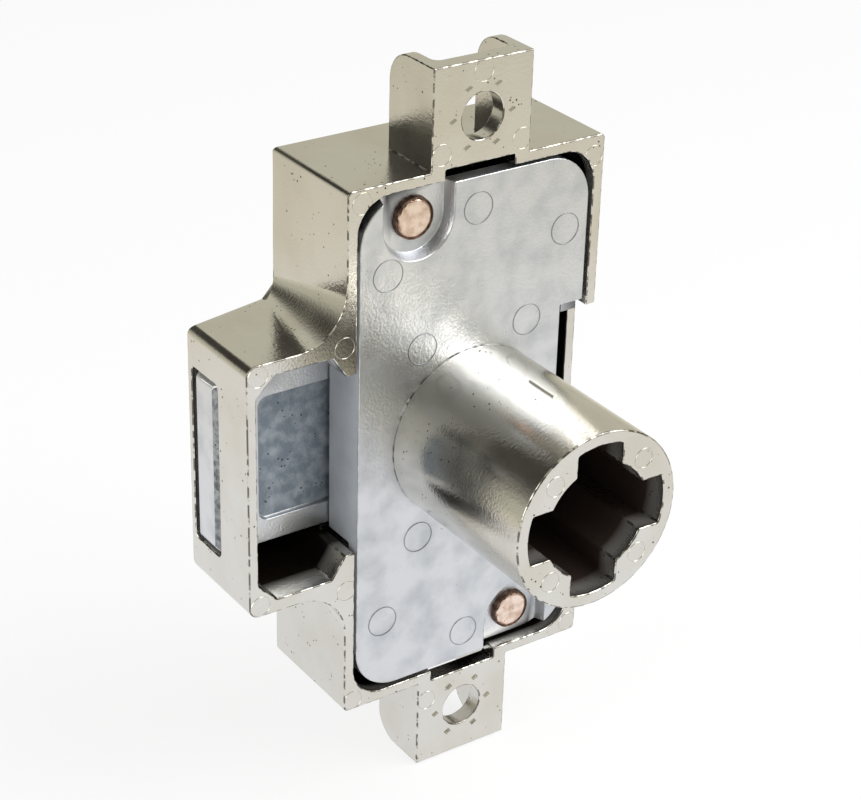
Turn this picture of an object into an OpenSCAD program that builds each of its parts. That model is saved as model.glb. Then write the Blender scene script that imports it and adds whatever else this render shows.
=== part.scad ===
// Screw-on cabinet lock for an exchangeable cylinder core, in millimetres.
// Origin: on the barrel's axis, in the plane of the case's front rim, which lies against the door.
// +X points to the blind side of the case, the bolt leaves towards -X.
// +Y points into the cabinet, the barrel stands out towards -Y, and +Z is up.

/* [Case] */
// Width of the case, without the nose
case_w = 28.8; // [27.6:0.2:34]
// Height of the case, without the lugs
case_h = 56; // [54:1:66]
// Thickness of the side walls
wall = 1.1; // [0.9:0.1:1.5]
// Thickness of the back wall
back_wall = 1.2; // [1:0.1:2]
// Free depth behind the bolt
rear_space = 2.5; // [2:0.1:5]
// Radius of the upright outer edges
case_corner_r = 0.5; // [0.3:0.1:1.5]
// Radius of the opening's corners
opening_r = 3.5; // [2:0.1:4.5]
// Radius of the case's rear edges
rear_edge_r = 0.6; // [0.3:0.1:2]
// Distance of the rim's notch from the planes of the lug's side walls
rim_notch_side = 0.3; // [0.2:0.05:1]
// Depth of the notch in the rim at each lug
rim_notch_d = 4.5; // [3:0.1:6]
// Height of the lowered stretch of the blind side wall
side_notch_h = 20.4; // [16:0.2:24]
// Depth of the lowered stretch of the blind side wall
side_notch_d = 2.9; // [2:0.1:4]

/* [Nose] */
// Barrel axis to the end face of the nose
backset = 25; // [24:0.5:32]
// Height of the nose
nose_h = 26.7; // [25.5:0.1:31]
// Wall at the end face of the nose
nose_end_wall = 1; // [0.8:0.1:1.5]
// Wall above and below the window of the nose
nose_side_wall = 1.4; // [1.1:0.05:1.8]
// Back wall of the nose at its tip
nose_back_wall = 0.7; // [0.6:0.1:1.2]
// Free depth behind the bolt inside the nose
nose_rear_gap = 0.8; // [0.3:0.1:1]
// Radius of the nose's two long outer edges
nose_corner_r = 1.1; // [0.6:0.1:2]
// Radius of the nose's two rear edges
nose_rear_r = 1.2; // [0.6:0.1:2]
// Radius of the hollow blends from the nose into the case, at the rim
nose_blend_r = 5.3; // [3:0.1:8]
// Radius of the same blends at the back
blend_rear_r = 1.6; // [0.8:0.1:3]
// Chamfer of the window at the end face
window_chamfer = 2; // [1:0.1:3]
// Width of the steeper chamfer of the window at the case
jamb_chamfer_w = 1.5; // [0.8:0.1:2.2]

/* [Lugs] */
// Width of a lug
lug_w = 11; // [10.5:0.1:15]
// Height of a lug above the case
lug_h = 9.9; // [8:0.1:14]
// Depth of a lug
lug_d = 7.2; // [5:0.1:10]
// Thickness of a lug's front plate
lug_plate = 1.8; // [1.2:0.1:2.5]
// Thickness of a lug's side walls
lug_side = 1.3; // [1:0.1:1.8]
// Radius of a lug's outer rear corner
lug_corner_r = 3; // [1:0.1:4]
// Radius inside a lug's channel
channel_r = 0.8; // [0.3:0.1:1.5]
// Distance between the two screw holes
screw_spacing = 65; // [64:0.5:67]
// Diameter of the screw holes
screw_hole_d = 4.6; // [3.5:0.1:5]

/* [Base plate] */
// Gap between the base plate and the case
plate_gap = 0.35; // [0.2:0.05:0.6]
// How far the base plate lies below the rim
plate_inset = 0.15; // [0.05:0.05:0.4]
// Thickness of the base plate
plate_t = 1.6; // [1.4:0.1:2]
// Radius of the base plate's corners
plate_corner_r = 4.8; // [3.6:0.1:6]
// Thickness of the flange beside the window
flange_t = 1.4; // [1:0.1:2]
// Width of the cut-out on the blind side
side_cut_w = 2.65; // [2:0.05:3]
// Height of the lowered shelf above and below that cut-out
shelf_h = 1.4; // [0.8:0.1:2]
// Depth of the shelf below the plate's face
shelf_d = 1; // [0.5:0.1:1.1]

/* [Rivets] */
// Distance of a rivet from the plate's long edge
rivet_side = 6.35; // [5.4:0.05:6.6]
// Distance of a rivet from the plate's short edge
rivet_edge = 3.05; // [2.9:0.05:5]
// Diameter of the rivet shanks
rivet_d = 3.4; // [3:0.1:3.6]
// Diameter of the formed rivet ends
rivet_head_d = 4.1; // [3.8:0.1:4.6]
// Height of the formed rivet ends
rivet_head_h = 0.55; // [0.3:0.05:0.9]
// Length of a shank in its boss
rivet_seat = 6; // [4:0.5:7]
// Radius of the recess round a rivet, at the plate's face
recess_r = 3.9; // [3.2:0.1:4.1]
// Depth of the recess
recess_d = 1.3; // [1:0.1:1.5]
// How much narrower the recess is at its floor, on each side
recess_draft = 0.4; // [0.1:0.1:0.6]
// Thickness of the plate under the recess
recess_floor_t = 1.4; // [1:0.1:2]
// Radius of the bosses that carry the rivets
boss_r = 3.5; // [3:0.1:3.8]

/* [Barrel] */
// Outer diameter of the barrel
barrel_d = 18; // [17.8:0.1:20]
// How far the barrel stands out of the rim's plane
barrel_l = 20; // [16:1:30]
// Bore for the cylinder core
core_bore_d = 11.4; // [11:0.1:12]
// Distance across two opposite core slots
slot_span = 15.5; // [14:0.1:15.8]
// Width of the four core slots
slot_w = 5.1; // [4:0.1:5.5]
// Length of the core slots
slot_l = 14; // [10:0.5:15]
// Diameter of the barrel's foot in the base plate
foot_d = 14; // [13.5:0.1:15]
// Diameter of the rim that is rolled over behind the base plate
rolled_rim_d = 16; // [15.4:0.1:16.4]
// Thickness of that rolled rim
rolled_rim_t = 0.7; // [0.5:0.1:0.9]

/* [Driver] */
// Diameter of the driver's hub
hub_d = 10; // [9:0.1:10.4]
// How far the hub's face lies in front of the rim's plane
hub_reach = 1.6; // [1:0.1:2.5]
// Thickness of the driver's disc
disc_t = 2.6; // [2:0.1:2.7]
// Metal between the crank pin and the disc's edge
disc_web = 0.75; // [0.5:0.05:1]
// Width of the stop tooth
tooth_w = 5; // [4:0.1:6]
// How far the stop tooth stands out of the disc
tooth_l = 1.7; // [1.2:0.1:2]
// Width of the slot for the core's tail
tail_slot_w = 2.4; // [1.5:0.1:3]
// Length of the slot for the core's tail
tail_slot_l = 8; // [6:0.1:8.4]
// Depth of the slot for the core's tail
tail_slot_d = 3; // [2:0.1:3.5]
// Diameter of the crank pin
pin_d = 3.5; // [3:0.1:4]

/* [Bolt] */
// Travel of the bolt
bolt_throw = 10; // [8:0.5:10.5]
// Height of the bolt
bolt_h = 18.2; // [16:0.1:19]
// Thickness of the bolt
bolt_t = 3.95; // [3.5:0.05:4.5]
// Room for the driver between base plate and bolt
drive_space = 3.8; // [3.6:0.1:4.4]
// Metal behind the crank slot
bolt_tail_web = 2.5; // [2:0.1:3]
// Length of the pocket in the bolt's face
pocket_l = 14.1; // [10:0.1:14.4]
// Height of the pocket
pocket_h = 13.3; // [8:0.1:14]
// Depth of the pocket
pocket_d = 0.5; // [0.3:0.1:1]
// Distance of the pocket from the bolt's end
pocket_start = 4.4; // [3:0.1:6]
// Chamfer of the bolt's front edge
bolt_chamfer = 0.9; // [0.4:0.1:1.2]
// Radius of the detent notches
notch_r = 4; // [3.6:0.1:5]
// Depth of the detent notches
notch_d = 0.6; // [0.4:0.05:0.8]

/* [Detent spring] */
// Thickness of the leaf spring
leaf_t = 0.4; // [0.3:0.05:0.6]
// Width of the leaf spring
leaf_w = 2.6; // [1.5:0.1:2.8]
// Half the length of the leaf spring
leaf_half_l = 8; // [7:0.1:8.5]
// Rise from the bow's foot to the ends
leaf_rise = 3.8; // [3:0.1:4.5]
// Place of the bow along the bolt
detent_x = -3; // [-3.5:0.1:-2]

/* [Fits] */
// Clearance round the bolt
bolt_fit = 0.15; // [0.1:0.05:0.25]
// Radial clearance of the driver's hub
hub_fit = 0.05; // [0.03:0.01:0.1]
// Radial clearance of the crank pin in the bolt
pin_fit = 0.15; // [0.1:0.05:0.25]
// Clearance between fixed pieces
seat_fit = 0.05; // [0.02:0.01:0.1]
// Clearance between the driver and its neighbours
driver_gap = 0.3; // [0.2:0.05:0.4]

/* [Hidden] */
$fn = 64;
past = 0.1;
overlap = 1;

// Planes across the depth
plate_y0 = plate_inset;
plate_y1 = plate_y0 + plate_t;
recess_y = plate_y0 + recess_d;
pad_y1 = recess_y + recess_floor_t;
bolt_y0 = plate_y1 + drive_space;
bolt_y1 = bolt_y0 + bolt_t;
floor_y = bolt_y1 + rear_space;
case_d = floor_y + back_wall;
nose_floor_y = bolt_y1 + nose_rear_gap;
nose_tip_d = nose_floor_y + nose_back_wall;
disc_y0 = plate_y1 + rolled_rim_t + seat_fit;
disc_y1 = disc_y0 + disc_t;

// Outlines seen from the front
inner_w = case_w - 2 * wall;
inner_h = case_h - 2 * wall;
plate_w = inner_w - 2 * plate_gap;
plate_h = inner_h - 2 * plate_gap;
rivet_x = plate_w / 2 - rivet_side;
rivet_z = plate_h / 2 - rivet_edge;
rim_notch_w = lug_w - 2 * lug_side - 2 * rim_notch_side;
window_half = nose_h / 2 - nose_side_wall;
passage_half = bolt_h / 2 + 0.6;
jamb_x = -case_w / 2;
nose_slope = (case_d - nose_tip_d) / (backset - case_w / 2);

// Crank: the bolt moves two crank radii in half a turn
crank_r = bolt_throw / 2;
pin_r = pin_d / 2;
disc_r = crank_r + pin_r + disc_web;
swing_angle = asin(2 / PI);
swing = crank_r * (cos(swing_angle) + 2 * swing_angle / 180 - 1);
bolt_tail_x = crank_r + swing + pin_r + pin_fit + bolt_tail_web;

// Detent spring
notch_floor_z = bolt_h / 2 - notch_d;
leaf_foot_z = notch_floor_z + seat_fit + leaf_t / 2;
leaf_seat_z = leaf_foot_z + leaf_rise + leaf_t / 2 + seat_fit;
leaf_y0 = bolt_y0 + (bolt_t - leaf_w) / 2;
rail_t = 1.1;
spring_seat_t = 1.2;

// Extrudes an outline, drawn as seen from the front, from one depth to another
module layer(y0, y1) {
    translate([0, y1, 0]) rotate([90, 0, 0]) linear_extrude(y1 - y0) children();
}

// Extrudes an outline, drawn as depth across and height up, along X
module sideways(x0, x1) {
    translate([x0, 0, 0]) rotate([90, 0, 90]) linear_extrude(x1 - x0) children();
}

// A round bar or hole along the depth, with its radius at each end
module round_bar(y0, y1, r0, r1) {
    translate([0, y1, 0]) rotate([90, 0, 0]) cylinder(h = y1 - y0, r1 = r1, r2 = r0);
}

// A rectangle about the origin with round corners
module rounded_rect(w, h, r) {
    square([w - 2 * r, h], center = true);
    square([w, h - 2 * r], center = true);
    for (x = [-1, 1], z = [-1, 1]) translate([x * (w / 2 - r), z * (h / 2 - r)]) circle(r);
}

// A box from its lowest to its highest corner
module block(low, high) {
    translate(low) cube(high - low);
}

// The same thing at one end and, turned half round, at the other
module both_ends() {
    children();
    rotate([0, 180, 0]) children();
}

// The same thing above and, mirrored, below
module above_and_below() {
    children();
    mirror([0, 0, 1]) children();
}

// Box of the case, with rounded rear edges except on the nose's side
module case_box() {
    intersection() {
        layer(0, case_d) rounded_rect(case_w, case_h, case_corner_r);
        sideways(-case_w / 2, case_w / 2) rounded_rect(2 * case_d, case_h, rear_edge_r);
        translate([-case_w / 2, 0, -case_h / 2]) linear_extrude(case_h)
            rounded_rect(2 * case_w, 2 * case_d, rear_edge_r);
    }
}

// Everything in front of the nose's back, which slopes from the case to a shallower tip
module before_back(h, rear_r) {
    translate([-backset, nose_tip_d, 0]) rotate([0, 0, atan(nose_slope)])
        sideways(-case_d, 2 * backset) translate([-2 * case_d, 0]) rounded_rect(4 * case_d, h, rear_r);
}

// The free corner outside the case and above the nose, with a rounded inner corner
module free_corner(r) {
    reach = 2 * nose_blend_r;
    translate([-case_w / 2 - reach, nose_h / 2 + reach]) rounded_rect(2 * reach, 2 * reach, r);
}

// Hollow blend between the nose and the side of the case, wide at the rim and narrow at the back
module nose_blend() {
    wall_x = -case_w / 2;
    difference() {
        intersection() {
            translate([0, 0, nose_h / 2 - overlap]) linear_extrude(nose_blend_r + overlap) polygon([
                [wall_x - nose_blend_r, 0],
                [wall_x + overlap, 0],
                [wall_x + overlap, case_d],
                [wall_x - blend_rear_r, case_d]
            ]);
            before_back(2 * case_h, overlap);
        }
        hull() {
            layer(-past, 0) free_corner(nose_blend_r);
            layer(case_d, case_d + past) free_corner(blend_rear_r);
        }
    }
}

module nose_block() {
    len = backset - case_w / 2 + overlap + nose_corner_r;
    intersection() {
        layer(0, case_d) translate([-backset + len / 2, 0]) rounded_rect(len, nose_h, nose_corner_r);
        before_back(nose_h, nose_rear_r);
    }
    above_and_below() nose_blend();
}

// Window of the nose, open to the front and into the case
module window_outline() {
    x0 = -backset + nose_end_wall;
    half = [
        [x0, window_half - window_chamfer],
        [x0 + window_chamfer, window_half],
        [jamb_x - jamb_chamfer_w, window_half],
        [jamb_x, passage_half],
        [-inner_w / 2 + past, passage_half]
    ];
    polygon(concat(half, [for (i = [len(half) - 1 : -1 : 0]) [half[i].x, -half[i].y]]));
}

// One lug: a front plate and two side walls, open to the back and at the end
module lug() {
    z0 = case_h / 2;
    difference() {
        intersection() {
            block([-lug_w / 2, 0, z0 - wall / 2], [lug_w / 2, lug_d, z0 + lug_h]);
            sideways(-lug_w / 2, lug_w / 2) translate([0, z0])
                rounded_rect(2 * lug_d, 2 * lug_h, lug_corner_r);
        }
        translate([0, 0, z0]) linear_extrude(lug_h + past)
            translate([0, lug_plate + lug_d]) rounded_rect(lug_w - 2 * lug_side, 2 * lug_d, channel_r);
        translate([0, 0, screw_spacing / 2])
            round_bar(-past, lug_plate + past, screw_hole_d / 2, screw_hole_d / 2);
    }
}

// Boss that holds a rivet, and a plain post that carries the plate beside it
module rivet_boss() {
    difference() {
        translate([-rivet_x, 0, rivet_z])
            round_bar(pad_y1 + seat_fit, floor_y + back_wall / 2, boss_r, boss_r);
        translate([-rivet_x, 0, rivet_z])
            round_bar(pad_y1, pad_y1 + rivet_seat + seat_fit, rivet_d / 2 + seat_fit, rivet_d / 2 + seat_fit);
    }
    translate([rivet_x + 2, 0, rivet_z]) round_bar(plate_y1 + seat_fit, floor_y + back_wall / 2, 1.8, 1.8);
}

// Rails that guide the bolt above, below and behind, with a gap for the detent spring
module bolt_guides() {
    z0 = bolt_h / 2 + bolt_fit;
    deep = floor_y + back_wall / 2;
    side = inner_w / 2 + wall / 2;
    gap = leaf_half_l - 1.5;
    block([-side, bolt_y0, -z0 - rail_t], [side, deep, -z0]);
    block([-side, bolt_y0, z0], [detent_x - gap, deep, z0 + rail_t]);
    block([detent_x + gap, bolt_y0, z0], [side, deep, z0 + rail_t]);
    above_and_below()
        block([-side, bolt_y1 + bolt_fit, bolt_h / 3 - rail_t], [side, deep, bolt_h / 3]);
}

// Rib with two end lips that the detent spring presses against
module spring_seat() {
    deep = floor_y + back_wall / 2;
    reach = leaf_half_l + seat_fit;
    for (side = [-1, 1]) translate([detent_x, 0, 0]) scale([side, 1, 1])
        block([reach, bolt_y0, leaf_seat_z - leaf_rise / 3], [reach + rail_t, deep, leaf_seat_z + overlap]);
    block([detent_x - reach - rail_t, bolt_y0, leaf_seat_z],
        [detent_x + reach + rail_t, deep, leaf_seat_z + spring_seat_t]);
}

module case() {
    color([0.79, 0.76, 0.69]) {
        difference() {
            union() {
                case_box();
                nose_block();
                above_and_below() lug();
            }
            layer(-past, floor_y) rounded_rect(inner_w, inner_h, opening_r);
            layer(-past, nose_floor_y) window_outline();
            above_and_below() block([-rim_notch_w / 2, -past, inner_h / 2 - opening_r],
                [rim_notch_w / 2, rim_notch_d, case_h / 2]);
            sideways(inner_w / 2 - past, case_w / 2 + past)
                rounded_rect(2 * side_notch_d, side_notch_h, 1);
            sideways(-backset - past, -backset + nose_end_wall + past)
                translate([(bolt_y0 + nose_floor_y) / 2 - bolt_fit / 2, 0])
                    rounded_rect(nose_floor_y - bolt_y0 + bolt_fit, bolt_h + 2 * bolt_fit, 0.6);
        }
        both_ends() rivet_boss();
        bolt_guides();
        spring_seat();
    }
}

// Recess round a rivet, open to the edge of the plate
module rivet_recess() {
    slope = recess_draft / recess_d;
    face_r = recess_r + slope * past;
    floor_r = recess_r - recess_draft;
    up = plate_h / 2 - rivet_z + past;
    translate([-rivet_x, 0, rivet_z]) {
        round_bar(plate_y0 - past, recess_y, face_r, floor_r);
        linear_extrude(up) polygon([
            [-face_r, plate_y0 - past],
            [face_r, plate_y0 - past],
            [floor_r, recess_y],
            [-floor_r, recess_y]
        ]);
    }
}

// Thickening under a recess, out to the edge of the plate
module recess_pad() {
    r = recess_r - recess_draft / 2;
    intersection() {
        layer(plate_y1 - plate_t / 2, pad_y1) translate([-rivet_x, rivet_z]) {
            circle(r);
            translate([-r, 0]) square([2 * r, plate_h / 2 - rivet_z]);
        }
        layer(0, bolt_y0) rounded_rect(plate_w, plate_h, plate_corner_r);
    }
}

// Ribs under the plate that stop the driver's tooth at each end of its half turn
module driver_stops() {
    x0 = disc_r + driver_gap;
    z1 = -tooth_w / 2 - driver_gap;
    for (side = [-1, 1]) scale([side, 1, 1])
        block([x0, plate_y1 - plate_t / 2, z1 - 1.8], [x0 + tooth_l, disc_y1, z1]);
}

module base_plate() {
    cut_x = plate_w / 2 - side_cut_w;
    cut_half = side_notch_h / 2 - shelf_h / 2;
    foot_r = foot_d / 2 + seat_fit;
    color([0.66, 0.69, 0.71]) difference() {
        union() {
            layer(plate_y0, plate_y1) rounded_rect(plate_w, plate_h, plate_corner_r);
            both_ends() recess_pad();
            block([-plate_w / 2, plate_y1 - plate_t / 2, -passage_half + bolt_fit],
                [-plate_w / 2 + flange_t, bolt_y0 - bolt_fit, passage_half - bolt_fit]);
            driver_stops();
        }
        both_ends() rivet_recess();
        both_ends() translate([-rivet_x, 0, rivet_z])
            round_bar(0, pad_y1 + past, rivet_d / 2 + seat_fit, rivet_d / 2 + seat_fit);
        round_bar(0, plate_y1 + past, foot_r, foot_r);
        block([cut_x, 0, -cut_half], [plate_w / 2 + past, plate_y1 + past, cut_half]);
        above_and_below() block([cut_x, plate_y0 - past, cut_half - past],
            [plate_w / 2 + past, plate_y0 + shelf_d, cut_half + shelf_h]);
    }
}

// Barrel with a round bore, four core slots and a foot that is rolled over behind the plate
module barrel() {
    hub_bore_r = hub_d / 2 + hub_fit;
    step_y = -hub_reach - 0.4;
    color([0.79, 0.76, 0.69]) difference() {
        union() {
            round_bar(-barrel_l, plate_y0, barrel_d / 2, barrel_d / 2);
            round_bar(-past, plate_y1 + rolled_rim_t, foot_d / 2, foot_d / 2);
            round_bar(plate_y1, plate_y1 + rolled_rim_t, rolled_rim_d / 2, rolled_rim_d / 2);
        }
        round_bar(-barrel_l - past, step_y, core_bore_d / 2, core_bore_d / 2);
        round_bar(step_y - past, disc_y0, hub_bore_r, hub_bore_r);
        intersection() {
            round_bar(-barrel_l - past, -barrel_l + slot_l, slot_span / 2, slot_span / 2);
            for (turn = [0, 90]) rotate([0, turn, 0])
                block([-slot_w / 2, -barrel_l - 2 * past, -slot_span],
                    [slot_w / 2, -barrel_l + slot_l + past, slot_span]);
        }
    }
}

// Driver: a hub in the barrel, a disc behind the plate and a stop tooth beside the crank pin
module driver() {
    hole_r = pin_r + seat_fit;
    color([0.48, 0.46, 0.43]) difference() {
        union() {
            round_bar(-hub_reach, disc_y0 + past, hub_d / 2, hub_d / 2);
            round_bar(disc_y0, disc_y1, disc_r, disc_r);
            block([0, disc_y0, -tooth_w / 2], [disc_r + tooth_l, disc_y1, tooth_w / 2]);
        }
        block([-tail_slot_w / 2, -hub_reach - past, -tail_slot_l / 2],
            [tail_slot_w / 2, -hub_reach + tail_slot_d, tail_slot_l / 2]);
        round_bar(-hub_reach - past, -hub_reach + tail_slot_d, tail_slot_w * 0.75, tail_slot_w * 0.75);
        translate([crank_r, 0, 0]) round_bar(disc_y0 + 0.8, disc_y1 + past, hole_r, hole_r);
    }
}

// Steel pin, pressed into the driver, that moves the bolt
module crank_pin() {
    tip = 0.3;
    end = bolt_y1 - bolt_fit;
    color([0.6, 0.61, 0.63]) translate([crank_r, 0, 0]) {
        round_bar(disc_y0 + 0.8 + seat_fit, end - tip, pin_r, pin_r);
        round_bar(end - tip, end, pin_r, pin_r - tip);
    }
}

// Path of the crank pin in the bolt, for an angle of the driver
function pin_path(a) = [crank_r * (cos(a) + 2 * a / 180), crank_r * sin(a)];
// The way out of that path, at right angles to it
function pin_side(a) = let (d = [2 / PI - sin(a), cos(a)]) [d.y, -d.x] / norm(d);

// Slot that the crank pin runs in, wide enough for its whole half turn
module crank_slot_outline() {
    r = pin_r + pin_fit;
    lead = atan2(2 / PI, 1);
    polygon(concat(
        [for (a = [0 : 6 : 180]) pin_path(a) + r * pin_side(a)],
        [for (a = [-180 + lead + 8 : 8 : -lead - 4]) [crank_r, 0] + r * [cos(a), sin(a)]]
    ));
}

module bolt() {
    len = backset + bolt_tail_x;
    color([0.64, 0.67, 0.7]) difference() {
        layer(bolt_y0, bolt_y1) translate([-backset + len / 2, 0]) rounded_rect(len, bolt_h, 0.8);
        translate([0, 0, -bolt_h]) linear_extrude(2 * bolt_h) polygon([
            [-backset - past, bolt_y0 - past],
            [-backset + bolt_chamfer / 2 + past, bolt_y0 - past],
            [-backset - past, bolt_y0 + bolt_chamfer + 3 * past]
        ]);
        layer(bolt_y0 - past, bolt_y0 + pocket_d)
            translate([-backset + pocket_start + pocket_l / 2, 0]) rounded_rect(pocket_l, pocket_h, 1);
        layer(bolt_y0 - past, bolt_y1 + past) crank_slot_outline();
        for (x = [0, bolt_throw]) layer(bolt_y0 - past, bolt_y1 + past)
            translate([detent_x + x, notch_floor_z + notch_r]) circle(notch_r);
    }
}

// Middle line of the leaf spring, bowed down to the bolt
function leaf_z(x) = leaf_foot_z + leaf_rise * (1 - cos(180 * x / leaf_half_l)) / 2;

module detent_spring() {
    steps = [-leaf_half_l : leaf_half_l / 16 : leaf_half_l];
    low = [for (x = steps) [detent_x + x, leaf_z(x) - leaf_t / 2]];
    high = [for (i = [len(low) - 1 : -1 : 0]) low[i] + [0, leaf_t]];
    color([0.55, 0.57, 0.6]) layer(leaf_y0, leaf_y0 + leaf_w) polygon(concat(low, high));
}

// Rivet with its end formed over in the recess of the base plate
module rivet() {
    head_r = rivet_head_d / 2;
    color([0.84, 0.62, 0.5]) translate([-rivet_x, 0, rivet_z]) {
        round_bar(recess_y - rivet_head_h, recess_y - rivet_head_h / 2, head_r - 0.3, head_r);
        round_bar(recess_y - rivet_head_h / 2, recess_y, head_r, head_r);
        round_bar(recess_y, pad_y1 + rivet_seat, rivet_d / 2, rivet_d / 2);
    }
}

module rivet_upper() {
    rivet();
}

module rivet_lower() {
    rotate([0, 180, 0]) rivet();
}

case();
base_plate();
barrel();
driver();
crank_pin();
bolt();
detent_spring();
rivet_upper();
rivet_lower();
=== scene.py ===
"""Looks of a screw-on cabinet lock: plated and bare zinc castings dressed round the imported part."""

from __future__ import annotations

import logging
import math
import random
from dataclasses import dataclass, field, replace
from enum import Enum
from typing import Callable

import bmesh
import bpy
from mathutils import Matrix, Vector
from mathutils.bvhtree import BVHTree

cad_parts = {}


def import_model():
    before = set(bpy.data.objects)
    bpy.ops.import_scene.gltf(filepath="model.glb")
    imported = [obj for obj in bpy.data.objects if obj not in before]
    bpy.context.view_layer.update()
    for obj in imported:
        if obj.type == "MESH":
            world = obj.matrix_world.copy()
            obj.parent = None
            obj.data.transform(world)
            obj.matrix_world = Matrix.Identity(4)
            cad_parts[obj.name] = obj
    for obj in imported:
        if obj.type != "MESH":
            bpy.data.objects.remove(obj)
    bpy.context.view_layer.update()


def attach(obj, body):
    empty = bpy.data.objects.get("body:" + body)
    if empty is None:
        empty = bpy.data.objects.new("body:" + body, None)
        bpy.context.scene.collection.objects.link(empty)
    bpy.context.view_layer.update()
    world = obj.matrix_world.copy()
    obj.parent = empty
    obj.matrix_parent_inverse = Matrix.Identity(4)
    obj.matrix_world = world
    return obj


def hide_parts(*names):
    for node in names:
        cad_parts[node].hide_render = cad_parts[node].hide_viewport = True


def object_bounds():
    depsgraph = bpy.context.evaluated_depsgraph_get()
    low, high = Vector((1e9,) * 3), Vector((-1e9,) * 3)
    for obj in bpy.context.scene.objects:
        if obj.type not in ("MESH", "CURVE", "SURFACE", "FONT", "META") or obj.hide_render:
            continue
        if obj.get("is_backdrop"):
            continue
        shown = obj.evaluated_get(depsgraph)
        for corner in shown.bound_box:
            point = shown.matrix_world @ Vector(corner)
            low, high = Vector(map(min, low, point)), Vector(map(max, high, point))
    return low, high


LOG = logging.getLogger("cabinet_lock")
MM = 0.001
# Attributes of a mesh that its finish reads
EDGE = "edge"
# Share of painted shade, from 0 on open metal to 1 where a hollow's colour is darkest
PAINTED_SHADE = "depth"
# Distances below which vertices count as one, at a seam and at a cut, in metres
SEAM = 1e-7
CUT = 1e-6
# Angle below which two faces count as one, in degrees
FLAT_ANGLE = 0.5


class Slot(Enum):
    """The record's material slots."""

    NICKEL = "nickel_plate"
    ZINC = "raw_zinc"
    DARK_ZINC = "dark_zinc"
    STEEL = "steel"
    COPPER = "copper"


def linear(hex_code: str) -> tuple[float, float, float, float]:
    """Turn an sRGB hex value to a linear colour.

    Args:
        hex_code: Six hex digits, such as "C8C2B2".

    Returns:
        Red, green, blue and an alpha of 1.
    """
    shares = [int(hex_code[i : i + 2], 16) / 255 for i in (0, 2, 4)]
    red, green, blue = (s / 12.92 if s <= 0.04045 else ((s + 0.055) / 1.055) ** 2.4 for s in shares)
    return red, green, blue, 1.0


def add_node(
    tree: bpy.types.NodeTree, kind: str, settings: dict | None = None, **inputs: object
) -> bpy.types.Node:
    """Add a node, set its properties, and set or link its inputs.

    Args:
        tree: The node tree to add to.
        kind: The node's type name.
        settings: Property names and values.
        inputs: Input names, with _ for a space or iN for the input at place N, each with a value or
            a socket to link.

    Returns:
        The new node.
    """
    made = tree.nodes.new(kind)
    for name, value in (settings or {}).items():
        setattr(made, name, value)
    for name, value in inputs.items():
        by_place = name[0] == "i" and name[1:].isdigit()
        socket = made.inputs[int(name[1:]) if by_place else name.replace("_", " ")]
        if isinstance(value, bpy.types.NodeSocket):
            tree.links.new(value, socket)
        else:
            socket.default_value = value
    return made


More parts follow.
